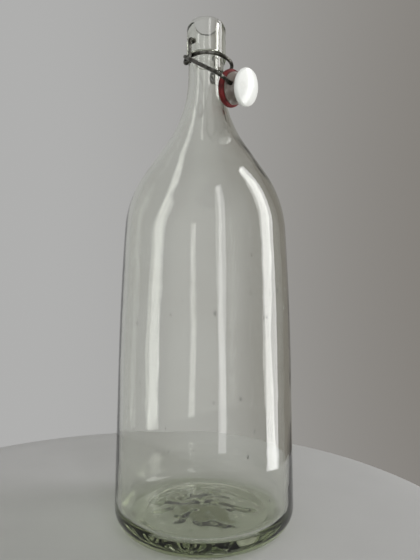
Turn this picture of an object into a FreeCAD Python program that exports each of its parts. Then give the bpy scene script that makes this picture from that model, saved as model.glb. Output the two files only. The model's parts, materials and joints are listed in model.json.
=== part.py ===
import FreeCAD, Part
import math
import os

# Swing top bottle: a glass bottle whose porcelain stopper hangs open on a bent-wire closure.
# Millimetres and degrees, +Z up, origin at the middle of the base.
# The closure's pivots all run along X, and the stopper hangs on the -Y side.

# Glass body
body_d = 111.6              # belly diameter
belly_h = 95.0              # top of the straight belly
body_draw = 2.0             # radius lost from the belly to the shoulder
shoulder_h = 185.3          # where the shoulder starts
shoulder_r = 75.0           # convex round of the shoulder
shoulder_slope = 32.0       # steepest slope of the shoulder from vertical
neck_sweep_r = 100.0        # concave sweep from the shoulder into the neck
neck_h = 11.9               # straight neck under the finish
wall = 4.2                  # glass thickness

# Base
heel_r = 13.5               # round between the wall and the base
inner_heel_r = 6.0          # the same round inside
base_t = 9.8                # glass under the floor
pushup_h = 5.0              # hollow under the base
stand_ring_w = 6.0          # flat ring that the bottle stands on

# Finish: the thick glass collar at the mouth
finish_d = 28.0
finish_h = 26.5
finish_step = 1.4           # how far the finish stands out from the neck
under_r = 0.5               # small round under the finish
lip_outer_r = 3.6
lip_inner_r = 1.6

# Dimples in the finish that hold the lever's ends
dimple_drop = 18.3          # below the lip
dimple_depth = 3.0
dimple_clear = 0.3

# Wires
wire_d = 2.5
bend_r = 2.5                # centre line of a bend
wire_gap = 0.35             # between wires that swing past each other

# Lever: arms, coiled eyes and the thumb loop round the neck
leg_offset = 0.9            # legs' centre line outside the finish
coil_r = 3.0                # centre line of a coiled eye
coil_gap = 0.45             # between neighbouring wires of a coil
coil_drop = 1.25            # clear space between the finish and a coil
coil_spans = 3              # quarter turns in a coil
loop_drop = 8.5             # slope of the thumb loop
loop_leg = 7.0              # straight run from a coil to the loop's round
closed_swing = 18.0         # lever angle below the rest pose that presses the stopper home

# Bail: the wire from the coiled eyes through the stopper
hook_reach = 0.6            # how far a hook stands out of its eye

# Porcelain stopper, heights measured along its axis from the wire hole
hole_clear = 0.35
cap_d = 24.0
cap_under_h = 5.5
cap_rim_h = 7.5
cap_edge_h = 9.5
cap_top_h = 11.8
cap_under_in = 1.3          # underside edge inside the rim
cap_edge_in = 1.5           # top edge inside the rim
waist_d = 15.0
waist_h = 0.8               # where the waist is narrowest
flange_d = 20.5
flange_t = 1.6
seat_h = 3.2                # from the wire hole down to the gasket's seat
plug_clear = 2.3            # between the plug and the bore
plug_head = 0.4             # head that keeps the gasket on
plug_len = 1.8              # plug below the gasket
plug_round = 0.8
stopper_tilt = 17.0         # how far the hanging stopper's axis dips

# Rubber gasket
gasket_d = 24.0
gasket_t = 4.2
gasket_round = 1.3
gasket_fit = 0.12           # between the gasket and the plug
lean_gap = 0.35             # between the hanging gasket and the neck

# Sampling of a wire's centre line for its gap to itself
sample_step = 0.5

# Sizes worked out from those above
X_AXIS = FreeCAD.Vector(1, 0, 0)
Z_AXIS = FreeCAD.Vector(0, 0, 1)
ORIGIN = FreeCAD.Vector(0, 0, 0)

wire_r = wire_d / 2
body_r = body_d / 2
finish_r = finish_d / 2
neck_r = finish_r - finish_step
bore_r = neck_r - wall
slope = math.radians(shoulder_slope)
draw_angle = 2 * math.atan2(body_draw, shoulder_h - belly_h)
draw_r = (shoulder_h - belly_h) / math.sin(draw_angle)

draw_c = (body_r - draw_r, belly_h)
shoulder_c = (
    body_r - body_draw - shoulder_r * math.cos(draw_angle),
    shoulder_h - shoulder_r * math.sin(draw_angle),
)
slope_run = (
    shoulder_c[0] + shoulder_r * math.cos(slope) - neck_r - neck_sweep_r * (1 - math.cos(slope))
) / math.tan(slope)
neck_z = shoulder_c[1] + (shoulder_r + neck_sweep_r) * math.sin(slope) + slope_run
neck_c = (neck_r + neck_sweep_r, neck_z)
finish_z = neck_z + neck_h
bottle_h = finish_z + finish_h

pivot_z = bottle_h - dimple_drop
leg_x = finish_r + leg_offset
arm_x = leg_x + wire_d + coil_gap
eye_y = coil_r
eye_z = finish_z - coil_drop - wire_r - coil_r
eye_arm = math.hypot(eye_y, pivot_z - eye_z)
eye_lag = math.atan2(eye_y, pivot_z - eye_z)
coil_turn = coil_spans * math.pi / 2 + math.radians(loop_drop)

bail_x = arm_x + wire_d + wire_gap
hook_x = leg_x - wire_r - hook_reach
closed_angle = eye_lag + math.radians(closed_swing)
closed_eye_y = eye_arm * math.sin(closed_angle)
closed_eye_z = pivot_z - eye_arm * math.cos(closed_angle)
bail_len = math.hypot(closed_eye_y, bottle_h + gasket_t + seat_h - closed_eye_z)

plug_r = bore_r - plug_clear
tilt = math.radians(stopper_tilt)


def along_bail(hang, reach):
    """Place this far from the eyes along a bail that hangs at this angle below level."""
    return (eye_y - reach * math.cos(hang), eye_z - reach * math.sin(hang))


def gasket_gap(hang):
    """Gap between the gasket's lower edge and the neck, with the bail at this angle."""
    hole_y, hole_z = along_bail(hang, bail_len)
    along = seat_h + gasket_t - gasket_round
    down = gasket_d / 2 - gasket_round
    edge_y = hole_y + along * math.cos(tilt) + down * math.sin(tilt)
    edge_z = hole_z + along * math.sin(tilt) - down * math.cos(tilt)
    return neck_sweep_r - math.hypot(edge_y + neck_c[0], edge_z - neck_c[1]) - gasket_round


def leaning_angle():
    """Angle at which the hanging gasket comes to lean on the neck, found by halving."""
    high = 0.0
    low = math.pi / 2
    while low - high > 1e-9:
        middle = (high + low) / 2
        if gasket_gap(middle) > lean_gap:
            high = middle
        else:
            low = middle
    return high


bail_hang = leaning_angle()
hole_y, hole_z = along_bail(bail_hang, bail_len)


def on_arc(centre, radius, angle):
    """Point of an outline, as radius and height, on an arc about this centre."""
    return (centre[0] + radius * math.cos(angle), centre[1] + radius * math.sin(angle))


def flat(point):
    """Outline point as a vector in the XZ plane."""
    return FreeCAD.Vector(point[0], 0, point[1])


class Outline:
    """Half section in the XZ plane, drawn as lines and arcs and then turned about Z."""

    def __init__(self, start):
        self.start = start
        self.here = start
        self.edges = []

    def line(self, point):
        self.edges.append(Part.LineSegment(flat(self.here), flat(point)).toShape())
        self.here = point

    def through(self, middle, point):
        self.edges.append(Part.Arc(flat(self.here), flat(middle), flat(point)).toShape())
        self.here = point

    def sweep(self, centre, radius, first, last):
        self.through(on_arc(centre, radius, (first + last) / 2), on_arc(centre, radius, last))

    def dome(self, point):
        """Arc that crosses the axis level, either from the axis or to it."""
        edge, crown = (point, self.here) if self.here[0] == 0 else (self.here, point)
        rise = crown[1] - edge[1]
        radius = (edge[0] ** 2 + rise ** 2) / (2 * rise)
        half = math.asin(edge[0] / radius) / 2
        self.through((radius * math.sin(half), crown[1] - radius + radius * math.cos(half)), point)

    def turned(self):
        self.line(self.start)
        return Part.Face(Part.Wire(self.edges)).revolve(ORIGIN, Z_AXIS, 360)


def bottle_side(outline, inset):
    """Body, shoulder and neck, drawn upwards at this depth inside the outer skin."""
    outline.line((body_r - inset, belly_h))
    outline.sweep(draw_c, draw_r - inset, 0, draw_angle)
    outline.sweep(shoulder_c, shoulder_r - inset, draw_angle, slope)
    outline.line(on_arc(neck_c, neck_sweep_r + inset, math.pi + slope))
    outline.sweep(neck_c, neck_sweep_r + inset, math.pi + slope, math.pi)


def bottle_outside():
    quarter = math.pi / 2
    stand_r = body_r - heel_r
    step_r = finish_step - under_r
    outline = Outline((0, pushup_h))
    outline.dome((stand_r - stand_ring_w, 0))
    outline.line((stand_r, 0))
    outline.sweep((stand_r, heel_r), heel_r, -quarter, 0)
    bottle_side(outline, 0)
    outline.line((neck_r, finish_z - under_r))
    outline.sweep((neck_r + under_r, finish_z - under_r), under_r, 2 * quarter, quarter)
    outline.sweep((finish_r - step_r, finish_z + step_r), step_r, -quarter, 0)
    outline.line((finish_r, bottle_h - lip_outer_r))
    outline.sweep((finish_r - lip_outer_r, bottle_h - lip_outer_r), lip_outer_r, 0, quarter)
    outline.line((0, bottle_h))
    return outline.turned()


def bottle_inside():
    quarter = math.pi / 2
    floor_r = body_r - wall - inner_heel_r
    outline = Outline((0, base_t + pushup_h))
    outline.dome((floor_r, base_t))
    outline.sweep((floor_r, base_t + inner_heel_r), inner_heel_r, -quarter, 0)
    bottle_side(outline, wall)
    outline.line((bore_r, bottle_h - lip_inner_r))
    outline.sweep((bore_r + lip_inner_r, bottle_h - lip_inner_r), lip_inner_r, 2 * quarter, quarter)
    outline.line((0, bottle_h))
    return outline.turned()


def glass_bottle():
    inside = bottle_inside()
    print("capacity to the brim, litres: %.2f" % (inside.Volume / 1e6))
    bottle = bottle_outside().cut(inside)
    for side in (-1, 1):
        floor = FreeCAD.Vector(side * (finish_r - dimple_depth), 0, pivot_z)
        dimple = Part.makeCylinder(wire_r + dimple_clear, 2 * dimple_depth, floor, X_AXIS * side)
        bottle = bottle.cut(dimple)
    return bottle


def arc_from(start, heading, end):
    """Arc that leaves the start along the heading and stops at the end."""
    chord = end - start
    along = FreeCAD.Vector(chord).normalize()
    lead = FreeCAD.Vector(heading).normalize()
    reach = chord.Length / (2 * math.cos(lead.getAngle(along) / 2))
    middle = start + (lead + along).normalize() * reach
    return Part.Arc(start, middle, end).toShape()


def biarc(start, heading, end, leaving):
    """Two tangent arcs that join two points along the given directions."""
    span = end - start
    both = heading + leaving
    spread = 2 * (1 - heading.dot(leaving))
    reach = (math.sqrt(span.dot(both) ** 2 + spread * span.dot(span)) - span.dot(both)) / spread
    joint = (start + end + (heading - leaving) * reach) * 0.5
    return [arc_from(start, heading, joint), arc_from(end, leaving * -1, joint)]


def bent(points):
    """Straight runs through the points, with each inner corner bent to the usual radius."""
    edges = []
    here = points[0]
    for before, corner, after in zip(points, points[1:], points[2:]):
        back = (before - corner).normalize()
        ahead = (after - corner).normalize()
        trim = bend_r / math.tan(back.getAngle(ahead) / 2)
        edges.append(Part.LineSegment(here, corner + back * trim).toShape())
        here = corner + ahead * trim
        edges.append(arc_from(corner + back * trim, back * -1, here))
    edges.append(Part.LineSegment(here, points[-1]).toShape())
    return edges


def wire_solid(name, edges, start, heading):
    """Round wire along the edges, with its length, volume and least gap to itself printed."""
    route = Part.Wire(edges)
    section = Part.Wire(Part.makeCircle(wire_r, start, heading))
    shell = Part.BRepOffsetAPI.MakePipeShell(route)
    shell.add(section)
    shell.build()
    shell.makeSolid()
    solid = shell.shape()
    drawn = math.pi * wire_r ** 2 * route.Length
    print("%s: length %.1f, volume %.1f of %.1f" % (name, route.Length, solid.Volume, drawn))
    points = route.discretize(Number=int(route.Length / sample_step))
    apart = int(math.pi * wire_d / sample_step)
    least = min(
        points[one].distanceToPoint(points[other])
        for one in range(len(points))
        for other in range(one + apart, len(points))
    )
    print("%s: least gap to itself %.2f" % (name, least - wire_d))
    return solid


def coil_station(turn):
    """Point and direction on a coiled eye, where turn runs from 0 at the arm to 1 at the leg."""
    angle = math.pi + turn * coil_turn
    drift = turn * turn * (3 - 2 * turn)
    rate = 6 * turn * (1 - turn) / (coil_r * coil_turn)
    point = FreeCAD.Vector(
        arm_x + (leg_x - arm_x) * drift,
        eye_y + coil_r * math.cos(angle),
        eye_z + coil_r * math.sin(angle),
    )
    heading = FreeCAD.Vector((leg_x - arm_x) * rate, -math.sin(angle), math.cos(angle))
    return point, heading.normalize()


def lever_wire():
    """One wire: an end in each dimple, an arm and a coiled eye on each side, and the thumb loop."""
    tip = FreeCAD.Vector(finish_r - dimple_depth + dimple_clear, 0, pivot_z)
    stations = [coil_station(span / coil_spans) for span in range(coil_spans + 1)]
    edges = bent([tip, FreeCAD.Vector(arm_x, 0, pivot_z), stations[0][0]])
    for (start, heading), (end, leaving) in zip(stations, stations[1:]):
        edges += biarc(start, heading, end, leaving)
    leg_start, forward = stations[-1]
    leg_end = leg_start + forward * loop_leg
    edges.append(Part.LineSegment(leg_start, leg_end).toShape())
    front = leg_end - X_AXIS * leg_x + forward * leg_x
    edges.append(arc_from(leg_end, forward, front))
    edges += [edge.mirror(ORIGIN, X_AXIS) for edge in reversed(edges)]
    return wire_solid("lever", edges, tip, X_AXIS)


def stopper_bail():
    """One wire: hooks in the coiled eyes, two legs, and a bar through the stopper."""
    right = [
        FreeCAD.Vector(hook_x, eye_y, eye_z),
        FreeCAD.Vector(bail_x, eye_y, eye_z),
        FreeCAD.Vector(bail_x, hole_y, hole_z),
    ]
    left = [FreeCAD.Vector(-point.x, point.y, point.z) for point in reversed(right)]
    return wire_solid("bail", bent(right + left), right[0], X_AXIS)


def hung(shape):
    """Turn a shape drawn upright about the wire hole to where the stopper hangs."""
    shape.rotate(ORIGIN, X_AXIS, 90 + stopper_tilt)
    shape.translate(FreeCAD.Vector(0, hole_y, hole_z))
    return shape


def porcelain_stopper():
    quarter = math.pi / 2
    cap_r = cap_d / 2
    head_r = plug_r + plug_head
    gasket_under = -seat_h - gasket_t
    plug_end = gasket_under - plug_len
    outline = Outline((0, plug_end))
    outline.line((head_r - plug_round, plug_end))
    outline.sweep((head_r - plug_round, plug_end + plug_round), plug_round, -quarter, 0)
    outline.line((head_r, gasket_under))
    outline.line((plug_r, gasket_under))
    outline.line((plug_r, -seat_h))
    outline.line((flange_d / 2, -seat_h))
    outline.line((flange_d / 2, flange_t - seat_h))
    outline.through((waist_d / 2, waist_h), (cap_r - cap_under_in, cap_under_h))
    outline.through((cap_r, cap_rim_h), (cap_r - cap_edge_in, cap_edge_h))
    outline.dome((0, cap_top_h))
    hole = Part.makeCylinder(wire_r + hole_clear, cap_d, X_AXIS * -cap_r, X_AXIS)
    return hung(outline.turned().cut(hole))


def rubber_gasket():
    quarter = math.pi / 2
    inner_r = plug_r + gasket_fit
    round_r = gasket_d / 2 - gasket_round
    under = -seat_h - gasket_t
    outline = Outline((inner_r, under))
    outline.line((round_r, under))
    outline.sweep((round_r, under + gasket_round), gasket_round, -quarter, 0)
    outline.line((gasket_d / 2, -seat_h - gasket_round))
    outline.sweep((round_r, -seat_h - gasket_round), gasket_round, 0, quarter)
    outline.line((inner_r, -seat_h))
    return hung(outline.turned())


os.makedirs("parts", exist_ok=True)
for piece in (glass_bottle, lever_wire, stopper_bail, porcelain_stopper, rubber_gasket):
    piece().exportStep("parts/%s.step" % piece.__name__)

print("bottle height %.2f, bore radius %.2f" % (bottle_h, bore_r))
print("lever pivot z %.3f, eye y %.3f z %.3f" % (pivot_z, eye_y, eye_z))
print("bail length %.2f, hang %.2f" % (bail_len, math.degrees(bail_hang)))
print("wire hole y %.3f z %.3f" % (hole_y, hole_z))
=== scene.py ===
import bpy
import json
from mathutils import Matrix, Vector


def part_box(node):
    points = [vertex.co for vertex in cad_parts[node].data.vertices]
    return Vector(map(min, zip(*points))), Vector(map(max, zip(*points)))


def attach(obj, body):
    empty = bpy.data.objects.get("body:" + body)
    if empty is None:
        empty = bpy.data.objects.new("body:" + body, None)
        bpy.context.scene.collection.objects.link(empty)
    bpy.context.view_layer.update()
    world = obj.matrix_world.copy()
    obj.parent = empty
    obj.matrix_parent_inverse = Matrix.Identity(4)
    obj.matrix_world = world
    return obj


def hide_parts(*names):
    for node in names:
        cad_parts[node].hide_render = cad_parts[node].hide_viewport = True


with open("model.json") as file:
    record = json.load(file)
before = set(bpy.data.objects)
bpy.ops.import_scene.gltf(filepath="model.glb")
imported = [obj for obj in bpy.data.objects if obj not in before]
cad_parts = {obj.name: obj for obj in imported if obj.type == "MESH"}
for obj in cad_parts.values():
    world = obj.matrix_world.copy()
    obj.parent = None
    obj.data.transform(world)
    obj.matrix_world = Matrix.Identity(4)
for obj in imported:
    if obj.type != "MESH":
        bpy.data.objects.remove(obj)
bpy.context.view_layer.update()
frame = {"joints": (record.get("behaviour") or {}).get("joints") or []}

import json
import math
import random

import bmesh
import bpy
from bpy.props import FloatProperty, FloatVectorProperty, IntProperty, PointerProperty
from mathutils import Matrix, Vector, noise

bl_info = {
    "name": "Swing top bottle",
    "version": (1, 0, 0),
    "blender": (4, 5, 0),
    "location": "3D View > Sidebar > Bottle",
    "description": "Dresses the packed swing top bottle in old glass, steel wire, porcelain and rubber",
    "category": "Object",
}

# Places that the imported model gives, in metres
JOINT_AT = {joint["name"]: Vector(joint["pos_m"]) for joint in frame["joints"]}
PIVOT = JOINT_AT["lever_swing"]
EYE = JOINT_AT["bail_swing"]
WIRE_HOLE = JOINT_AT["stopper_turn"]
GLASS_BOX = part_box("glass_bottle")
BAIL_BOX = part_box("stopper_bail")
QUARTER = math.pi / 2
SHARP = math.radians(50)
LEAST_STEPS = 4


def length(name, default, description):
    return FloatProperty(
        name=name, description=description, default=default, unit="LENGTH", subtype="DISTANCE", precision=5
    )


def angle(name, default, description):
    return FloatProperty(
        name=name, description=description, default=math.radians(default), unit="ROTATION", subtype="ANGLE"
    )


def power(name, default, description):
    return FloatProperty(name=name, description=description, default=default, min=0, unit="POWER")


def share(name, default, description):
    return FloatProperty(name=name, description=description, default=default, min=0, max=1, subtype="FACTOR")


def colour(name, default, description):
    return FloatVectorProperty(
        name=name, description=description, default=default, size=4, min=0, max=1, subtype="COLOR"
    )


class GlassSettings(bpy.types.PropertyGroup):
    """Sizes and tint of the bottle."""

    belly_r: length("Belly radius", GLASS_BOX[1].x, "Outside of the belly")
    height: length("Height", GLASS_BOX[1].z, "From the floor to the lip")
    belly_z: length("Belly top", 0.095, "Where the straight belly ends")
    draw: length("Draw", 0.002, "Radius lost from the belly to the shoulder")
    shoulder_z: length("Shoulder", 0.1853, "Where the shoulder starts")
    shoulder_r: length("Shoulder round", 0.075, "Convex round of the shoulder")
    slope: angle("Slope", 32, "Steepest slope of the shoulder from vertical")
    sweep_r: length("Neck sweep", 0.1, "Concave sweep into the neck")
    neck_r: length("Neck radius", 0.0126, "Outside of the neck")
    neck_z: length("Neck height", 0.0119, "Straight neck under the finish")
    wall: length("Wall", 0.0042, "Glass thickness")
    heel_r: length("Heel round", 0.0135, "Round between wall and base")
    inner_heel_r: length("Inner heel round", 0.006, "The same round inside")
    base: length("Base", 0.0098, "Glass under the floor")
    pushup: length("Push-up", 0.005, "Hollow under the base")
    ring: length("Standing ring", 0.006, "Width of the ring that the bottle stands on")
    finish_r: length("Finish radius", 0.014, "Outside of the thick glass at the mouth")
    finish_z: length("Finish height", 0.0265, "Height of the thick glass at the mouth")
    under_r: length("Under round", 0.0005, "Small round under the finish")
    lip_r: length("Lip round", 0.0036, "Outer round of the lip")
    mouth_r: length("Mouth round", 0.0016, "Inner round of the lip")
    dimple_r: length("Dimple radius", 0.00165, "Dimples that hold the lever")
    dimple: length("Dimple depth", 0.003, "Depth of the dimples")
    dimple_edge: length("Dimple edge", 0.0004, "Rounded edge of a dimple")
    inner_wave: length("Inner waves", 0.00055, "How far the inside wanders")
    outer_wave: length("Outer waves", 0.00007, "How far the outside wanders")
    wave_w: length("Wave width", 0.036, "Across a slow wave")
    wave_h: length("Wave height", 0.080, "Along a slow wave")
    streak: share("Streaks", 0.25, "Strength of the drawn streaks beside the slow waves")
    streak_w: length("Streak width", 0.011, "Across a streak")
    streak_h: length("Streak height", 0.110, "Along a streak")
    calm: length("Calm", 0.03, "Waves die out over this towards the finish and the axis")
    lumps: length("Base lumps", 0.0023, "Rough middle of the push-up")
    lump_w: length("Lump width", 0.0125, "Across a lump")
    lump_r: length("Rough middle", 0.034, "Radius that has lumps")
    lump_fade: length("Lump fade", 0.014, "Lumps grow over this from the edge of the rough middle")
    floor_lumps: share("Floor lumps", 0.25, "How much of the lumps shows on the floor inside")
    seeds: IntProperty(name="Seeds", description="Small bubbles in the glass", default=46, min=0)
    seed_least: length("Smallest seed", 0.00022, "Radius across a small seed")
    seed_most: length("Largest seed", 0.0006, "Radius across a large seed")
    sides: IntProperty(name="Sides", description="Faces round the bottle", default=192, min=24)
    tint: colour("Tint", (0.50, 0.585, 0.28, 1), "Colour of thick glass")
    depth: FloatProperty(name="Tint depth", description="How fast thick glass darkens", default=19.0, min=0)
    clear: colour("Clear", (0.995, 0.996, 0.992, 1), "Glass surface")
    # Dark olive under the middle of the base: painted shade of the floor under the bottle, with some residue.
    base_shade_and_residue: colour("Stain", (0.40, 0.42, 0.27, 1), "Residue under the middle of the base")
    film: colour("Film", (0.968, 0.966, 0.956, 1), "Surface under a film of dust")


class WireSettings(bpy.types.PropertyGroup):
    """Sizes and finish of the closure's wires."""

    wire_r: length("Wire radius", 0.00125, "Half the wire's thickness")
    bend_r: length("Bend", 0.0025, "Centre line of a bend")
    tip_x: length("Lever tip", 0.0113, "Where the lever's ends stop in the dimples")
    arm_x: length("Arm", 0.01785, "Lever arm from the middle")
    leg_x: length("Leg", 0.0149, "Thumb loop leg from the middle")
    coil_r: length("Coil", 0.003, "Centre line of a coiled eye")
    loop_leg: length("Loop leg", 0.007, "Straight run from a coil to the loop's round")
    loop_drop: angle("Loop slope", 8.5, "Slope of the thumb loop")
    hook_x: length("Hook tip", 0.01305, "Where the bail's hooks stop")
    sides: IntProperty(name="Sides", description="Faces round a wire", default=24, min=8)
    step: length("Step", 0.0004, "Length of a face along a wire")
    dents: share("Dents", 0.010, "How uneven the drawn wire is")
    dent_w: length("Dent width", 0.0028, "Across a dent")
    ease: share("Eased ends", 0.3, "How much narrower a cut end is, as a share of the radius")
    steel: colour("Steel", (0.21, 0.206, 0.188, 1), "Worn steel")
    oxide: colour("Oxide", (0.042, 0.041, 0.033, 1), "Dark skin of the wire")
    rust: colour("Rust", (0.075, 0.036, 0.018, 1), "Specks where the skin is broken")


class StopperSettings(bpy.types.PropertyGroup):
    """Sizes and finish of the porcelain stopper and its gasket."""

    tilt: angle("Tilt", 17, "How far the hanging stopper's axis dips")
    cap_r: length("Cap radius", 0.012, "Outside of the cap")
    cap_under_z: length("Cap underside", 0.0055, "From the wire hole to the cap's underside")
    cap_rim_z: length("Cap rim", 0.0075, "From the wire hole to the cap's rim")
    cap_edge_z: length("Cap edge", 0.0095, "From the wire hole to the cap's top edge")
    cap_top_z: length("Cap top", 0.0118, "From the wire hole to the cap's crown")
    under_in: length("Underside inset", 0.0013, "Underside edge inside the rim")
    edge_in: length("Edge inset", 0.0015, "Top edge inside the rim")
    waist_r: length("Waist radius", 0.0075, "Narrowest part round the wire hole")
    waist_z: length("Waist height", 0.0008, "Where the waist is narrowest")
    flange_r: length("Flange radius", 0.01025, "Flange over the gasket")
    flange: length("Flange", 0.0016, "Thickness of the flange")
    seat_z: length("Seat", 0.0032, "From the wire hole down to the gasket")
    plug_r: length("Plug radius", 0.0061, "Plug inside the gasket")
    head: length("Head", 0.0004, "Head that keeps the gasket on")
    plug_z: length("Plug length", 0.0018, "Plug below the gasket")
    plug_round: length("Plug round", 0.0008, "Rounded end of the plug")
    soft: length("Soft edges", 0.0003, "Rounded edges of the flange and the head")
    uneven: length("Uneven glaze", 0.00006, "How far the glaze wanders")
    uneven_w: length("Glaze waves", 0.006, "Across a wave of the glaze")
    hole_r: length("Wire hole", 0.0016, "Radius of the hole for the bail")
    gasket_r: length("Gasket radius", 0.012, "Outside of the gasket")
    gasket: length("Gasket", 0.0042, "Thickness of the gasket")
    gasket_round: length("Gasket round", 0.0013, "Rounded edges of the gasket")
    gasket_fit: length("Gasket fit", 0.00012, "Between the gasket and the plug")
    gasket_in: length("Gasket inset", 0.00005, "How far the worn rubber has drawn in")
    gasket_uneven: length("Uneven rubber", 0.00007, "How far the rubber wanders")
    gasket_wave: length("Rubber waves", 0.003, "Across a wave of the rubber")
    mould_line: length("Mould line", 0.00012, "Height of the line round the gasket")
    mould_w: length("Mould line width", 0.00035, "From the middle of the line to its foot")
    sides: IntProperty(name="Sides", description="Faces round the stopper", default=128, min=24)
    glaze: colour("Glaze", (0.85, 0.865, 0.835, 1), "White glaze")
    worn: colour("Worn glaze", (0.70, 0.695, 0.655, 1), "Glaze that has greyed")
    # Dark brown round the waist: grime and painted shade, as the waist under the cap lies in shade.
    dirt_and_shade_colour: colour("Dirt", (0.15, 0.118, 0.098, 1), "Dirt held round the waist")
    rubber: colour("Rubber", (0.165, 0.011, 0.012, 1), "Red rubber")
    aged: colour("Aged rubber", (0.055, 0.005, 0.005, 1), "Rubber that has darkened")


class StageSettings(bpy.types.PropertyGroup):
    """Floor, lamps and camera."""

    floor_r: length("Floor radius", 0.225, "Round pale floor")
    floor_t: length("Floor thickness", 0.03, "Thickness of the floor")
    floor_edge: length("Floor edge", 0.004, "Rounded edge of the floor")
    floor_left: length("Floor shift", 0.05, "Floor to the left of the axis, as the camera sees it")
    floor_sink: length("Floor sink", 0.00005, "Gap that keeps the floor clear of the glass")
    floor: colour("Floor", (0.54, 0.54, 0.535, 1), "Floor")
    bright: colour("Bright side", (0.43, 0.43, 0.425, 1), "Backdrop across from the side lamp")
    shaded: colour("Shaded side", (0.215, 0.20, 0.18, 1), "Backdrop on the side lamp's own side")
    behind: colour("Behind", (0.84, 0.84, 0.83, 1), "Backdrop behind the camera")
    lamp_h: length("Lamp height", 2.2, "Both lamps from end to end")
    side_lamp: power("Side lamp", 12.0, "Strength of the tall side lamp")
    side_turn: angle("Side lamp turn", 93, "To the right of the camera")
    side_far: length("Side lamp distance", 1.0, "From the bottle's axis")
    side_z: length("Side lamp middle", 0.7, "Above the floor")
    side_w: length("Side lamp width", 0.40, "Width of the side lamp")
    fill_lamp: power("Fill lamp", 5.6, "Strength of the lamp behind the camera")
    fill_turn: angle("Fill lamp turn", 22, "To the right of the camera")
    fill_far: length("Fill lamp distance", 1.5, "From the bottle's axis")
    fill_z: length("Fill lamp middle", 0.75, "Above the floor")
    fill_w: length("Fill lamp width", 0.24, "Width of the fill lamp")
    lens: FloatProperty(
        name="Lens", description="Focal length", default=26.87, min=1, subtype="DISTANCE_CAMERA"
    )
    distance: length("Distance", 0.2805, "From the bottle's axis to the camera")
    eye_z: length("Camera height", 0.1216, "Above the floor")
    aside: length("Aside", 0.00326, "Camera to the right of the axis")
    turn: angle("Turn", -52, "Camera's right hand from +X")
    pitch: angle("Pitch", 6.35, "Camera looks up by this much")
    roll: angle("Roll", 0.18, "Camera's roll")


class Field:
    """A value on a surface. Arithmetic on it adds Math nodes."""

    def __init__(self, nodes, socket):
        self.nodes = nodes
        self.socket = socket

    def _maths(self, operation, left, right):
        return self.nodes.add("ShaderNodeMath", {"operation": operation}, {0: left, 1: right})

    def __add__(self, other):
        return self._maths("ADD", self, other)

    def __sub__(self, other):
        return self._maths("SUBTRACT", self, other)

    def __rsub__(self, other):
        return self._maths("SUBTRACT", other, self)

    def __mul__(self, other):
        return self._maths("MULTIPLY", self, other)

    __radd__ = __add__
    __rmul__ = __mul__


class Nodes:
    """A node tree that is being built."""

    def __init__(self, tree):
        self.tree = tree
        tree.nodes.clear()

    def add(self, kind, settings=None, sockets=None, output=0):
        """A node of this type: its settings first, then values or links for its sockets."""
        node = self.tree.nodes.new(kind)
        for name, value in (settings or {}).items():
            if name == "stops":
                self._set_stops(node.color_ramp, value)
            else:
                setattr(node, name, value)
        for key, value in (sockets or {}).items():
            if isinstance(value, Field):
                self.tree.links.new(value.socket, node.inputs[key])
            else:
                node.inputs[key].default_value = value
        return Field(self, node.outputs[output]) if node.outputs else None

    @staticmethod
    def _set_stops(ramp, stops):
        ramp.interpolation = "EASE"
        while len(ramp.elements) < len(stops):
            ramp.elements.new(1)
        for element, (place, tone) in zip(ramp.elements, stops):
            element.position = place
            element.color = (tone, tone, tone, 1)

    def mix(self, factor, first, second):
        """Colour between two others."""
        return self.add("ShaderNodeMix", {"data_type": "RGBA"}, {0: factor, 6: first, 7: second}, output=2)

    def speckle(self, place, scale, detail, roughness=0.5):
        """Cloudy noise from 0 to 1, with features of this size in metres."""
        return self.add(
            "ShaderNodeTexNoise",
            {},
            {"Vector": place, "Scale": 1 / scale, "Detail": detail, "Roughness": roughness},
        )

    def ramp(self, factor, stops):
        """Grey level that follows these stops."""
        return self.add("ShaderNodeValToRGB", {"stops": stops}, {0: factor})

    def bump(self, height, distance):
        return self.add("ShaderNodeBump", {}, {"Height": height, "Distance": distance, "Strength": 1.0})


def new_finish(name):
    material = bpy.data.materials.new(name)
    material.use_nodes = True
    return material, Nodes(material.node_tree)


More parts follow.
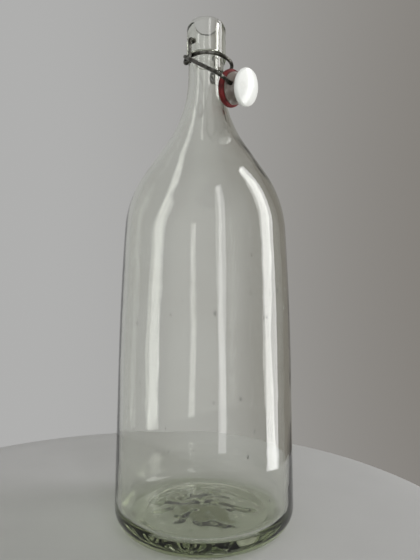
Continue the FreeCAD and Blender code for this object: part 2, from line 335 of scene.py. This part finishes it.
def glass_finish(glass):
    """Clear glass with a green depth, faint ripples, a film of dust, and residue with painted shade darkening
    the middle of the base.
    """
    material, nodes = new_finish("old_glass")
    place = nodes.add("ShaderNodeTexCoord", output="Object")
    cloud = nodes.ramp(nodes.speckle(place, 0.045, 3.0), [(0.45, 0), (0.75, 1)])
    ripple = nodes.speckle(place, 0.016, 1.0)
    flat = nodes.add("ShaderNodeVectorMath", {"operation": "MULTIPLY"}, {0: place, 1: (1, 1, 0)})
    reach = nodes.add("ShaderNodeVectorMath", {"operation": "LENGTH"}, {0: flat}, output="Value")
    height = nodes.add("ShaderNodeSeparateXYZ", {}, {0: place}, output="Z")
    # Residue and painted shade: the middle of the base is darkened in its colour, standing in for the shade
    # under the bottle that shows through the glass.
    patch = nodes.ramp(17 * reach + 1.1 * nodes.speckle(place, 0.011, 3.0), [(0.74, 1), (0.98, 0)])
    base_shade_and_residue = patch * nodes.ramp(60 * height, [(0.50, 1), (0.65, 0)])
    dusty = nodes.mix(cloud, tuple(glass.clear), tuple(glass.film))
    surface = nodes.add(
        "ShaderNodeBsdfPrincipled",
        {},
        {
            "Base Color": nodes.mix(base_shade_and_residue, dusty, tuple(glass.base_shade_and_residue)),
            "Roughness": 0.004 + 0.016 * cloud + 0.05 * base_shade_and_residue,
            "IOR": 1.52,
            "Transmission Weight": 1.0,
            "Normal": nodes.bump(ripple, 0.0001),
        },
    )
    lamp_ray = nodes.add("ShaderNodeLightPath", output="Is Shadow Ray")
    through = nodes.add("ShaderNodeBsdfTransparent", {}, {"Color": (0.67, 0.69, 0.65, 1)})
    depth = nodes.add("ShaderNodeVolumeAbsorption", {}, {"Color": tuple(glass.tint), "Density": glass.depth})
    shown = nodes.add("ShaderNodeMixShader", {}, {0: lamp_ray, 1: surface, 2: through})
    nodes.add("ShaderNodeOutputMaterial", {}, {"Surface": shown, "Volume": depth})
    return material


def steel_finish(wire):
    """Dark drawn steel wire, worn bright in places, with specks of rust."""
    material = bpy.data.materials.get("oxidised_wire")
    if material:
        return material
    material, nodes = new_finish("oxidised_wire")
    place = nodes.add("ShaderNodeTexCoord", output="Object")
    worn = nodes.ramp(nodes.speckle(place, 0.0055, 5.0, 0.62), [(0.40, 0), (0.68, 1)])
    grain = nodes.speckle(place, 0.0006, 3.0)
    broken = nodes.ramp(nodes.speckle(place, 0.0021, 4.0, 0.6), [(0.60, 0), (0.72, 1)])
    skin = nodes.mix(worn, tuple(wire.oxide), tuple(wire.steel))
    surface = nodes.add(
        "ShaderNodeBsdfPrincipled",
        {},
        {
            "Base Color": nodes.mix(broken, skin, tuple(wire.rust)),
            "Metallic": 0.95 - 0.75 * broken,
            "Roughness": 0.30 - 0.10 * worn + 0.35 * broken + 0.10 * grain,
            "Normal": nodes.bump(grain + 2.0 * broken, 0.00003),
        },
    )
    nodes.add("ShaderNodeOutputMaterial", {}, {"Surface": surface})
    return material


def porcelain_finish(stopper):
    """Glossy white glaze, greyed in places, darkened round the waist by grime and painted shade."""
    material, nodes = new_finish("white_porcelain")
    place = nodes.add("ShaderNodeTexCoord", output="Object")
    along = nodes.add("ShaderNodeSeparateXYZ", {}, {0: place}, output="Z")
    cloud = nodes.ramp(nodes.speckle(place, 0.008, 4.0), [(0.48, 0), (0.80, 1)])
    spot = nodes.ramp(nodes.speckle(place, 0.0012, 1.0), [(0.76, 0), (0.80, 1)])
    waist = nodes.ramp(along * 100 + 0.5, [(0.02, 0), (0.22, 1), (0.94, 1), (1.0, 0)])
    # Grime and painted shade: the flange and the waist under the cap are darkened in patches, standing in for
    # the shade they lie in as well as for grime.
    dirt_and_shade = waist * nodes.ramp(nodes.speckle(place, 0.0085, 4.0), [(0.0, 0), (0.50, 1)])
    glazed = nodes.mix(0.55 * cloud, tuple(stopper.glaze), tuple(stopper.worn))
    surface = nodes.add(
        "ShaderNodeBsdfPrincipled",
        {},
        {
            "Base Color": nodes.mix(0.95 * dirt_and_shade + 0.05 * spot, glazed, tuple(stopper.dirt_and_shade_colour)),
            "Roughness": 0.22 + 0.12 * cloud + 0.42 * dirt_and_shade,
            "IOR": 1.5,
            "Coat Weight": 0.25 - 0.25 * dirt_and_shade,
            "Coat Roughness": 0.12,
            "Normal": nodes.bump(nodes.speckle(place, 0.0035, 1.0), 0.00006),
        },
    )
    nodes.add("ShaderNodeOutputMaterial", {}, {"Surface": surface})
    return material


def rubber_finish(stopper):
    """Dull red rubber, darkened and finely cracked with age."""
    material, nodes = new_finish("red_rubber")
    place = nodes.add("ShaderNodeTexCoord", output="Object")
    aged = nodes.ramp(nodes.speckle(place, 0.006, 5.0, 0.6), [(0.36, 0), (0.68, 1)])
    grain = nodes.speckle(place, 0.0005, 4.0, 0.7)
    edge = nodes.add(
        "ShaderNodeTexVoronoi", {"feature": "DISTANCE_TO_EDGE"}, {"Vector": place, "Scale": 620.0}
    )
    crack = nodes.ramp(edge, [(0.0, 1), (0.05, 0)]) * aged
    tone = nodes.mix(aged, tuple(stopper.rubber), tuple(stopper.aged))
    surface = nodes.add(
        "ShaderNodeBsdfPrincipled",
        {},
        {
            "Base Color": nodes.mix(0.7 * crack, tone, (0.03, 0.006, 0.006, 1)),
            "Roughness": 0.54 + 0.18 * aged + 0.12 * grain,
            "IOR": 1.5,
            "Specular IOR Level": 0.35,
            "Normal": nodes.bump(grain - 1.6 * crack, 0.00005),
        },
    )
    nodes.add("ShaderNodeOutputMaterial", {}, {"Surface": surface})
    return material


class Outline:
    """Half section drawn as lines and arcs of evenly spaced points, as radius and height."""

    def __init__(self, start, step):
        self.points = [start]
        self.step = step

    def line(self, end):
        here = self.points[-1]
        count = math.ceil(round(math.dist(here, end) / self.step, 3))
        for part in range(1, count + 1):
            self.points.append(tuple(a + (b - a) * part / count for a, b in zip(here, end)))

    def sweep(self, centre, radius, first, last):
        count = max(LEAST_STEPS, math.ceil(abs(last - first) * radius / self.step))
        for part in range(1, count + 1):
            turn = first + (last - first) * part / count
            self.points.append((centre[0] + radius * math.cos(turn), centre[1] + radius * math.sin(turn)))

    def dome(self, end):
        """Arc that crosses the axis level, either from the axis or to it."""
        here = self.points[-1]
        edge, crown = (end, here) if here[0] == 0 else (here, end)
        rise = crown[1] - edge[1]
        radius = (edge[0] ** 2 + rise ** 2) / (2 * rise)
        rim = math.atan2(edge[1] - crown[1] + radius, edge[0])
        first, last = (QUARTER, rim) if here[0] == 0 else (rim, QUARTER)
        self.sweep((0, crown[1] - radius), radius, first, last)
        self.points[-1] = end

    def through(self, middle, end):
        """Arc through a middle point."""
        here = self.points[-1]
        (ax, ay), (bx, by), (cx, cy) = here, middle, end
        area = 2 * (ax * (by - cy) + bx * (cy - ay) + cx * (ay - by))
        squares = [x * x + y * y for x, y in (here, middle, end)]
        centre = (
            (squares[0] * (by - cy) + squares[1] * (cy - ay) + squares[2] * (ay - by)) / area,
            (squares[0] * (cx - bx) + squares[1] * (ax - cx) + squares[2] * (bx - ax)) / area,
        )
        first, half, last = (math.atan2(y - centre[1], x - centre[0]) for x, y in (here, middle, end))
        half = first + math.remainder(half - first, 2 * math.pi)
        last = half + math.remainder(last - half, 2 * math.pi)
        self.sweep(centre, math.dist(centre, here), first, last)


def turned(outline, sides, swell, closed=False):
    """Points and faces of an outline turned about Z. Each point moves along the outline's normal by swell."""
    points = outline.points
    count = len(points)
    places, faces, rings = [], [], []
    for index, (radius, height) in enumerate(points):
        before = points[index - 1 if closed else max(0, index - 1)]
        after = points[(index + 1) % count if closed else min(count - 1, index + 1)]
        along = Vector((after[0] - before[0], after[1] - before[1])).normalized()
        ring = []
        for side in range(1 if radius == 0 else sides):
            turn = 2 * math.pi * side / sides
            out = Vector((math.cos(turn), math.sin(turn), 0))
            place = out * radius + Vector((0, 0, height))
            move = swell(place, index)
            ring.append(len(places))
            places.append(place + (out * along.y - Vector((0, 0, along.x))) * move)
        rings.append(ring)
    pairs = list(zip(rings, rings[1:]))
    if closed:
        pairs.append((rings[-1], rings[0]))
    for low, high in pairs:
        for side in range(sides):
            following = (side + 1) % sides
            corners = [low[side % len(low)], low[following % len(low)]]
            corners += [high[following % len(high)], high[side % len(high)]]
            faces.append(list(dict.fromkeys(corners)))
    return places, faces


def new_piece(name, places, faces, finish):
    mesh = bpy.data.meshes.new(name)
    mesh.from_pydata(places, [], faces)
    mesh.polygons.foreach_set("use_smooth", [True] * len(mesh.polygons))
    mesh.materials.append(finish)
    mesh.update()
    piece = bpy.data.objects.new(name, mesh)
    bpy.context.scene.collection.objects.link(piece)
    return piece


def dress(piece, body, node):
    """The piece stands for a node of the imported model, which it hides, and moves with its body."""
    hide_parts(node)
    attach(piece, body)


def bottle_outline(glass):
    """Outside from under the base to the lip, then inside down to the floor. Also gives the lip's index."""
    lean = 2 * math.atan2(glass.draw, glass.shoulder_z - glass.belly_z)
    lean_r = (glass.shoulder_z - glass.belly_z) / math.sin(lean)
    lean_at = (glass.belly_r - lean_r, glass.belly_z)
    shoulder_at = (
        glass.belly_r - glass.draw - glass.shoulder_r * math.cos(lean),
        glass.shoulder_z - glass.shoulder_r * math.sin(lean),
    )
    under_z = glass.height - glass.finish_z
    sweep_at = (glass.neck_r + glass.sweep_r, under_z - glass.neck_z)

    def sides(inset):
        """Arcs from the belly to the neck at this depth: centre, radius, first and last angle."""
        return (
            (lean_at, lean_r - inset, 0, lean),
            (shoulder_at, glass.shoulder_r - inset, lean, glass.slope),
            (sweep_at, glass.sweep_r + inset, math.pi + glass.slope, math.pi),
        )

    def start_of(arc):
        centre, radius, first, last = arc
        return (centre[0] + radius * math.cos(first), centre[1] + radius * math.sin(first))

    stand_r = glass.belly_r - glass.heel_r
    bore_r = glass.neck_r - glass.wall
    step_r = glass.finish_r - glass.neck_r - glass.under_r
    outline = Outline((0, glass.pushup), 0.0012)
    outline.dome((stand_r - glass.ring, 0))
    outline.line((stand_r, 0))
    outline.sweep((stand_r, glass.heel_r), glass.heel_r, -QUARTER, 0)
    outline.step = 0.0024
    outline.line((glass.belly_r, glass.belly_z))
    lean_arc, shoulder_arc, sweep_arc = sides(0)
    outline.sweep(*lean_arc)
    outline.sweep(*shoulder_arc)
    outline.line(start_of(sweep_arc))
    outline.sweep(*sweep_arc)
    outline.step = 0.00045
    outline.line((glass.neck_r, under_z - glass.under_r))
    outline.sweep((glass.neck_r + glass.under_r, under_z - glass.under_r), glass.under_r, math.pi, QUARTER)
    outline.sweep((glass.finish_r - step_r, under_z + step_r), step_r, -QUARTER, 0)
    outline.line((glass.finish_r, glass.height - glass.lip_r))
    outline.sweep((glass.finish_r - glass.lip_r, glass.height - glass.lip_r), glass.lip_r, 0, QUARTER)
    lip = len(outline.points)
    outline.line((bore_r + glass.mouth_r, glass.height))
    outline.sweep((bore_r + glass.mouth_r, glass.height - glass.mouth_r), glass.mouth_r, QUARTER, math.pi)
    outline.step = 0.0024
    lean_arc, shoulder_arc, sweep_arc = sides(glass.wall)
    outline.line((bore_r, sweep_at[1]))
    for centre, radius, first, last in (sweep_arc, shoulder_arc, lean_arc):
        outline.line((centre[0] + radius * math.cos(last), centre[1] + radius * math.sin(last)))
        outline.sweep(centre, radius, last, first)
    floor_r = glass.belly_r - glass.wall - glass.inner_heel_r
    outline.line((glass.belly_r - glass.wall, glass.base + glass.inner_heel_r))
    outline.step = 0.0012
    outline.sweep((floor_r, glass.base + glass.inner_heel_r), glass.inner_heel_r, 0, -QUARTER)
    outline.dome((0, glass.base + glass.pushup))
    return outline, lip


def stretched(place, across, along):
    return Vector((place.x / across, place.y / across, place.z / along))


class MakeBottle(bpy.types.Operator):
    """Make the glass bottle with its wandering walls, dimples, rough push-up and seeds"""

    bl_idname = "swingtop.make_bottle"
    bl_label = "Glass bottle"

    def execute(self, context):
        glass = context.scene.swingtop_glass
        outline, lip = bottle_outline(glass)
        under_z = glass.height - glass.finish_z

        def swell(place, index):
            radius = math.hypot(place.x, place.y)
            inside = index >= lip
            calm = min(1, max(0, (under_z - place.z) / glass.calm)) * min(1, radius / glass.calm)
            wave = glass.inner_wave if inside else glass.outer_wave * min(1, place.z / glass.heel_r)
            slow = noise.noise(stretched(place, glass.wave_w, glass.wave_h))
            quick = noise.noise(stretched(place, glass.streak_w, glass.streak_h))
            move = calm * wave * (slow + glass.streak * quick)
            if place.z < glass.belly_z and radius < glass.lump_r:
                middle = min(1, (glass.lump_r - radius) / glass.lump_fade)
                lump = noise.fractal(place / glass.lump_w, 1.0, 2.1, 2)
                move += middle * glass.lumps * lump * (glass.floor_lumps if inside else 1)
            if not inside:
                off = math.hypot(place.y, place.z - PIVOT.z)
                rim = min(1, max(0, (glass.dimple_r + glass.dimple_edge - off) / glass.dimple_edge))
                move -= rim * rim * (3 - 2 * rim) * (glass.dimple - glass.finish_r + abs(place.x))
            return move

        places, faces = turned(outline, glass.sides, swell)
        piece = new_piece("bottle", places, faces, glass_finish(glass))
        self.add_seeds(piece.data, glass)
        dress(piece, "bottle", "glass_bottle")
        return {"FINISHED"}

    @staticmethod
    def add_seeds(mesh, glass):
        """Small drawn-out bubbles in the middle of the wall."""
        chance = random.Random(5)
        work = bmesh.new()
        work.from_mesh(mesh)
        for _ in range(glass.seeds):
            turn = chance.uniform(0, 2 * math.pi)
            height = chance.uniform(glass.heel_r + 0.01, glass.belly_z + 0.07)
            radius = glass.belly_r - glass.wall * chance.uniform(0.4, 0.6) - 0.0005
            size = chance.uniform(glass.seed_least, glass.seed_most)
            spot = Matrix.Translation((radius * math.cos(turn), radius * math.sin(turn), height))
            form = Matrix.Diagonal((size, size, size * chance.uniform(1.2, 2.6), 1))
            ball = bmesh.ops.create_icosphere(work, subdivisions=2, radius=1, matrix=spot @ form)
            skin = {face for vert in ball["verts"] for face in vert.link_faces}
            bmesh.ops.reverse_faces(work, faces=list(skin))
            for face in skin:
                face.smooth = True
        work.to_mesh(mesh)
        work.free()


def bent(corners, radius, step):
    """Points on straight runs through the corners, with each inner corner bent to the radius."""
    path = [corners[0]]
    for before, corner, after in zip(corners, corners[1:], corners[2:]):
        back = (before - corner).normalized()
        ahead = (after - corner).normalized()
        half = back.angle(ahead) / 2
        centre = corner + (back + ahead).normalized() * (radius / math.sin(half))
        start = corner + back * (radius / math.tan(half)) - centre
        axis = back.cross(start)
        spread = math.pi - 2 * half
        count = math.ceil(radius * spread / step)
        for part in range(count + 1):
            path.append(centre + Matrix.Rotation(spread * part / count, 3, axis) @ start)
    path.append(corners[-1])
    return path


def spaced(path, step):
    """The same path with long runs divided into even steps."""
    points = [path[0]]
    for here, there in zip(path, path[1:]):
        count = max(1, round((there - here).length / step))
        points += [here.lerp(there, part / count) for part in range(1, count + 1)]
    return points


def mirrored(path):
    """The path, then its mirror image back across the middle plane."""
    back = [Vector((-point.x, point.y, point.z)) for point in reversed(path)]
    return path + (back[1:] if abs(path[-1].x) < 1e-6 else back)


def tube(path, wire):
    """Round wire along a path, slightly uneven, with eased ends."""
    places, faces = [], []
    heading = (path[1] - path[0]).normalized()
    across = heading.orthogonal().normalized()
    last = len(path) - 1
    ease = wire.wire_r * wire.ease
    rings = [(path[0], 0.0), (path[0], wire.wire_r - ease)]
    rings += [(point, wire.wire_r) for point in path[1:-1]]
    rings += [(path[last], wire.wire_r - ease), (path[last], 0.0)]
    for index, (point, radius) in enumerate(rings):
        spot = min(max(index - 1, 0), last)
        ahead = (path[min(spot + 1, last)] - path[max(spot - 1, 0)]).normalized()
        across = (heading.rotation_difference(ahead) @ across).normalized()
        heading = ahead
        if radius == 0:
            places.append(point)
            continue
        for side in range(wire.sides):
            turn = 2 * math.pi * side / wire.sides
            out = Matrix.Rotation(turn, 3, heading) @ across
            dent = noise.noise((point + out * radius) / wire.dent_w)
            places.append(point + out * radius * (1 + wire.dents * (dent - 0.5)))
    sides = wire.sides
    for side in range(sides):
        following = (side + 1) % sides
        faces.append((0, 1 + following, 1 + side))
        for ring in range(len(rings) - 3):
            low = 1 + ring * sides
            faces.append((low + side, low + following, low + sides + following, low + sides + side))
        end = 1 + (len(rings) - 3) * sides
        faces.append((len(places) - 1, end + side, end + following))
    return places, faces


class MakeLever(bpy.types.Operator):
    """Make the lever wire with its coiled eyes and thumb loop"""

    bl_idname = "swingtop.make_lever"
    bl_label = "Lever wire"

    def execute(self, context):
        wire = context.scene.swingtop_wire
        coil_end = 3 * QUARTER + wire.loop_drop
        top = Vector((wire.arm_x, 0, PIVOT.z))
        tip = Vector((wire.tip_x, 0, PIVOT.z))
        path = bent([tip, top, Vector((wire.arm_x, 0, EYE.z))], wire.bend_r, wire.step)
        steps = math.ceil(wire.coil_r * coil_end / wire.step)
        for part in range(1, steps + 1):
            share_done = part / steps
            turn = math.pi + coil_end * share_done
            drift = share_done * share_done * (3 - 2 * share_done)
            path.append(
                Vector(
                    (
                        wire.arm_x + (wire.leg_x - wire.arm_x) * drift,
                        EYE.y + wire.coil_r * math.cos(turn),
                        EYE.z + wire.coil_r * math.sin(turn),
                    )
                )
            )
        forward = Vector((0, -math.cos(wire.loop_drop), -math.sin(wire.loop_drop)))
        path.append(path[-1] + forward * wire.loop_leg)
        middle = path[-1] - Vector((wire.leg_x, 0, 0))
        steps = math.ceil(wire.leg_x * QUARTER / wire.step)
        for part in range(1, steps + 1):
            turn = QUARTER * part / steps
            across = Vector((wire.leg_x * math.cos(turn), 0, 0))
            path.append(middle + across + forward * (wire.leg_x * math.sin(turn)))
        places, faces = tube(spaced(mirrored(path), wire.step), wire)
        piece = new_piece("lever", places, faces, steel_finish(wire))
        dress(piece, "lever", "lever_wire")
        return {"FINISHED"}


class MakeBail(bpy.types.Operator):
    """Make the bail wire with its hooks, legs and bar"""

    bl_idname = "swingtop.make_bail"
    bl_label = "Stopper bail"

    def execute(self, context):
        wire = context.scene.swingtop_wire
        leg_x = BAIL_BOX[1].x - wire.wire_r
        corners = [Vector((wire.hook_x, EYE.y, EYE.z)), Vector((leg_x, EYE.y, EYE.z))]
        corners.append(Vector((leg_x, WIRE_HOLE.y, WIRE_HOLE.z)))
        places, faces = tube(spaced(bent(mirrored(corners), wire.bend_r, wire.step), wire.step), wire)
        piece = new_piece("bail", places, faces, steel_finish(wire))
        dress(piece, "bail", "stopper_bail")
        return {"FINISHED"}


def hang(piece, stopper):
    """Put a piece drawn upright about the wire hole where the stopper hangs."""
    piece.matrix_world = Matrix.Translation(WIRE_HOLE) @ Matrix.Rotation(QUARTER + stopper.tilt, 4, "X")


class MakeStopper(bpy.types.Operator):
    """Make the porcelain stopper with its cap, waist, cross hole, flange and plug"""

    bl_idname = "swingtop.make_stopper"
    bl_label = "Porcelain stopper"

    def execute(self, context):
        stopper = context.scene.swingtop_stopper
        soft = stopper.soft
        head_r = stopper.plug_r + stopper.head
        under = -stopper.seat_z - stopper.gasket
        end = under - stopper.plug_z
        outline = Outline((0, end), 0.0004)
        end_r = head_r - stopper.plug_round
        outline.line((end_r, end))
        outline.sweep((end_r, end + stopper.plug_round), stopper.plug_round, -QUARTER, 0)
        outline.line((head_r, under - soft))
        outline.sweep((head_r - soft, under - soft), soft, 0, QUARTER)
        outline.line((stopper.plug_r, under))
        outline.line((stopper.plug_r, -stopper.seat_z))
        outline.line((stopper.flange_r - soft, -stopper.seat_z))
        outline.sweep((stopper.flange_r - soft, soft - stopper.seat_z), soft, -QUARTER, 0)
        outline.line((stopper.flange_r, stopper.flange - stopper.seat_z - soft))
        outline.sweep((stopper.flange_r - soft, stopper.flange - stopper.seat_z - soft), soft, 0, QUARTER)
        cap_under = (stopper.cap_r - stopper.under_in, stopper.cap_under_z)
        cap_edge = (stopper.cap_r - stopper.edge_in, stopper.cap_edge_z)
        outline.through((stopper.waist_r, stopper.waist_z), cap_under)
        outline.through((stopper.cap_r, stopper.cap_rim_z), cap_edge)
        outline.dome((0, stopper.cap_top_z))

        def swell(place, index):
            return stopper.uneven * noise.noise(place / stopper.uneven_w)

        places, faces = turned(outline, stopper.sides, swell)
        piece = new_piece("stopper", places, faces, porcelain_finish(stopper))
        self.bore(piece, stopper)
        hang(piece, stopper)
        dress(piece, "stopper", "porcelain_stopper")
        return {"FINISHED"}

    @staticmethod
    def bore(piece, stopper):
        """Cut the cross hole for the bail. The drill is turned off the mesh lines, so no edges coincide."""
        drill_turn, drill_length, weld = 0.03, 0.04, 0.00008
        mesh = bpy.data.meshes.new("wire_hole")
        work = bmesh.new()
        across = Matrix.Rotation(QUARTER, 4, "Y") @ Matrix.Rotation(drill_turn, 4, "Z")
        bmesh.ops.create_cone(
            work,
            segments=48,
            radius1=stopper.hole_r,
            radius2=stopper.hole_r,
            depth=drill_length,
            matrix=across,
        )
        ends = [face for face in work.faces if len(face.verts) > 4]
        bmesh.ops.delete(work, geom=ends, context="FACES_ONLY")
        bmesh.ops.holes_fill(work, edges=work.edges)
        bmesh.ops.recalc_face_normals(work, faces=work.faces)
        work.to_mesh(mesh)
        work.free()
        drill = bpy.data.objects.new("wire_hole", mesh)
        bpy.context.scene.collection.objects.link(drill)
        cut = piece.modifiers.new("wire_hole", "BOOLEAN")
        cut.operation = "DIFFERENCE"
        cut.solver = "EXACT"
        cut.object = drill
        graph = bpy.context.evaluated_depsgraph_get()
        work = bmesh.new()
        work.from_object(piece, graph)
        bmesh.ops.triangulate(work, faces=[face for face in work.faces if len(face.verts) > 4])
        rim = [vert for vert in work.verts if math.hypot(vert.co.y, vert.co.z) < 1.1 * stopper.hole_r]
        bmesh.ops.remove_doubles(work, verts=rim, dist=weld)
        work.to_mesh(piece.data)
        work.free()
        piece.modifiers.clear()
        bpy.data.objects.remove(drill)
        piece.data.set_sharp_from_angle(angle=SHARP)


class MakeGasket(bpy.types.Operator):
    """Make the red rubber gasket with its mould line"""

    bl_idname = "swingtop.make_gasket"
    bl_label = "Rubber gasket"

    def execute(self, context):
        stopper = context.scene.swingtop_stopper
        inner_r = stopper.plug_r + stopper.gasket_fit
        round_r = stopper.gasket_r - stopper.gasket_round
        under = -stopper.seat_z - stopper.gasket
        outline = Outline((inner_r, under), 0.0003)
        outline.line((round_r, under))
        outline.sweep((round_r, under + stopper.gasket_round), stopper.gasket_round, -QUARTER, 0)
        outline.line((stopper.gasket_r, -stopper.seat_z - stopper.gasket_round))
        outline.sweep((round_r, -stopper.seat_z - stopper.gasket_round), stopper.gasket_round, 0, QUARTER)
        outline.line((inner_r, -stopper.seat_z))
        outline.line((inner_r, under))
        outline.points.pop()
        middle = -stopper.seat_z - stopper.gasket / 2
        margin = 0.0005

        def swell(place, index):
            radius = math.hypot(place.x, place.y)
            if radius < inner_r + margin:
                return 0.0
            line = max(0, 1 - abs(place.z - middle) / stopper.mould_w) if radius > round_r + margin else 0
            wander = stopper.gasket_uneven * noise.noise(place / stopper.gasket_wave)
            return wander - stopper.gasket_in + stopper.mould_line * line

        places, faces = turned(outline, stopper.sides, swell, closed=True)
        piece = new_piece("gasket", places, faces, rubber_finish(stopper))
        piece.data.set_sharp_from_angle(angle=SHARP)
        hang(piece, stopper)
        dress(piece, "stopper", "rubber_gasket")
        return {"FINISHED"}


class SetStage(bpy.types.Operator):
    """Set the pale floor, the backdrop, the lamps and the camera"""

    bl_idname = "swingtop.set_stage"
    bl_label = "Stage"

    def execute(self, context):
        stage = context.scene.swingtop_stage
        self.right = Vector((math.cos(stage.turn), math.sin(stage.turn), 0))
        self.away = Vector((-self.right.y, self.right.x, 0))
        self.floor(stage)
        self.backdrop(context.scene, stage)
        side, fill = (stage.side_w, stage.lamp_h), (stage.fill_w, stage.lamp_h)
        self.lamp("side_lamp", stage.side_lamp, stage.side_turn, stage.side_far, stage.side_z, side)
        self.lamp("fill_lamp", stage.fill_lamp, stage.fill_turn, stage.fill_far, stage.fill_z, fill)
        self.camera(context.scene, stage)
        context.scene.view_settings.view_transform = "Standard"
        return {"FINISHED"}

    def floor(self, stage):
        material, nodes = new_finish("pale_floor")
        place = nodes.add("ShaderNodeTexCoord", output="Object")
        cloud = nodes.speckle(place, 0.05, 4.0)
        darker = tuple(0.9 * part for part in stage.floor[:3]) + (1,)
        surface = nodes.add(
            "ShaderNodeBsdfPrincipled",
            {},
            {"Base Color": nodes.mix(cloud, tuple(stage.floor), darker), "Roughness": 0.85},
        )
        nodes.add("ShaderNodeOutputMaterial", {}, {"Surface": surface})
        edge = stage.floor_edge
        outline = Outline((0, -stage.floor_t), 0.02)
        outline.line((stage.floor_r, -stage.floor_t))
        outline.line((stage.floor_r, -edge))
        outline.sweep((stage.floor_r - edge, -edge), edge, 0, QUARTER)
        outline.line((0, 0))
        places, faces = turned(outline, 160, lambda place, index: 0.0)
        piece = new_piece("floor", places, faces, material)
        piece.data.set_sharp_from_angle(angle=SHARP)
        piece.location = self.right * -stage.floor_left - Vector((0, 0, stage.floor_sink))

    def backdrop(self, scene, stage):
        """Pale behind the camera. In front it falls off towards the side lamp."""
        world = bpy.data.worlds.new("backdrop")
        world.use_nodes = True
        scene.world = world
        nodes = Nodes(world.node_tree)
        way = nodes.add("ShaderNodeTexCoord", output="Generated")

        def towards(heading):
            """How far a view direction points along this heading, from -1 to 1."""
            dot = {"operation": "DOT_PRODUCT"}
            return nodes.add("ShaderNodeVectorMath", dot, {0: way, 1: heading}, output="Value")

        fall = nodes.ramp(towards(self.right) * 0.5 + 0.5, [(0.30, 0), (0.82, 1), (1.0, 0.7)])
        front = nodes.mix(fall, tuple(stage.bright), tuple(stage.shaded))
        back = nodes.ramp(towards(-self.away), [(0.25, 0), (0.85, 1)])
        tone = nodes.mix(back, front, tuple(stage.behind))
        light = nodes.add("ShaderNodeBackground", {}, {"Color": tone, "Strength": 1.0})
        nodes.add("ShaderNodeOutputWorld", {}, {"Surface": light})

    def lamp(self, name, power, turn, distance, height, size):
        """Tall lamp turned this far to the right of the camera, facing the bottle."""
        way = self.right * math.sin(turn) - self.away * math.cos(turn)
        data = bpy.data.lights.new(name, "AREA")
        data.shape = "RECTANGLE"
        data.size, data.size_y = size
        data.energy = power
        lamp = bpy.data.objects.new(name, data)
        lamp.location = way * distance + Vector((0, 0, height))
        lamp.rotation_mode = "QUATERNION"
        lamp.rotation_quaternion = (-way).to_track_quat("-Z", "Y")
        lamp.visible_camera = False
        lamp.visible_transmission = False
        bpy.context.scene.collection.objects.link(lamp)
        self.card(lamp)

    @staticmethod
    def card(lamp):
        """The lamp's face. It shows where glass mirrors it from inside, and is clear when seen straight."""
        data = lamp.data
        material, nodes = new_finish(lamp.name + "_card")
        bounces = nodes.add("ShaderNodeLightPath", output="Ray Depth")
        passes = nodes.add("ShaderNodeLightPath", output="Transmission Depth")
        strength = data.energy / (math.pi * data.size * data.size_y)
        clear = nodes.add("ShaderNodeBsdfTransparent")
        glow = nodes.add("ShaderNodeEmission", {}, {"Strength": strength})
        shown = nodes.add("ShaderNodeMixShader", {}, {0: bounces - passes, 1: clear, 2: glow})
        nodes.add("ShaderNodeOutputMaterial", {}, {"Surface": shown})
        material.cycles.emission_sampling = "NONE"
        x, y = data.size / 2, data.size_y / 2
        places = [(-x, -y, 0), (x, -y, 0), (x, y, 0), (-x, y, 0)]
        piece = new_piece(lamp.name + "_card", places, [(0, 1, 2, 3)], material)
        piece.matrix_world = Matrix.LocRotScale(lamp.location, lamp.rotation_quaternion, None)
        for ray in ("camera", "diffuse", "glossy", "shadow", "volume_scatter"):
            setattr(piece, "visible_" + ray, False)

    def camera(self, scene, stage):
        data = bpy.data.cameras.new("camera")
        data.lens = stage.lens
        data.clip_start = 0.01
        camera = bpy.data.objects.new("camera", data)
        camera.location = self.right * stage.aside - self.away * stage.distance + Vector((0, 0, stage.eye_z))
        ahead = self.away * math.cos(stage.pitch) + Vector((0, 0, math.sin(stage.pitch)))
        aim = ahead.to_track_quat("-Z", "Y").to_matrix() @ Matrix.Rotation(stage.roll, 3, "Z")
        camera.rotation_mode = "QUATERNION"
        camera.rotation_quaternion = aim.to_quaternion()
        scene.collection.objects.link(camera)
        scene.camera = camera


class BottlePanel(bpy.types.Panel):
    """Lists the pieces of the bottle and their settings"""

    bl_idname = "VIEW3D_PT_swingtop"
    bl_label = "Swing top bottle"
    bl_space_type = "VIEW_3D"
    bl_region_type = "UI"
    bl_category = "Bottle"

    def draw(self, context):
        for operator in PIECES:
            self.layout.operator(operator.bl_idname)
        for name, settings in SETTINGS.items():
            box = self.layout.box()
            for key in settings.__annotations__:
                box.prop(getattr(context.scene, name), key)


PIECES = (SetStage, MakeBottle, MakeLever, MakeBail, MakeStopper, MakeGasket)
SETTINGS = {
    "swingtop_glass": GlassSettings,
    "swingtop_wire": WireSettings,
    "swingtop_stopper": StopperSettings,
    "swingtop_stage": StageSettings,
}


def register():
    for name, settings in SETTINGS.items():
        bpy.utils.register_class(settings)
        setattr(bpy.types.Scene, name, PointerProperty(type=settings))
    for kind in (*PIECES, BottlePanel):
        bpy.utils.register_class(kind)


def unregister():
    for kind in (BottlePanel, *reversed(PIECES)):
        bpy.utils.unregister_class(kind)
    for name, settings in reversed(SETTINGS.items()):
        delattr(bpy.types.Scene, name)
        bpy.utils.unregister_class(settings)


def main():
    register()
    bpy.ops.swingtop.set_stage()
    bpy.ops.swingtop.make_bottle()
    bpy.ops.swingtop.make_lever()
    bpy.ops.swingtop.make_bail()
    bpy.ops.swingtop.make_stopper()
    bpy.ops.swingtop.make_gasket()


if __name__ == "__main__":
    main()
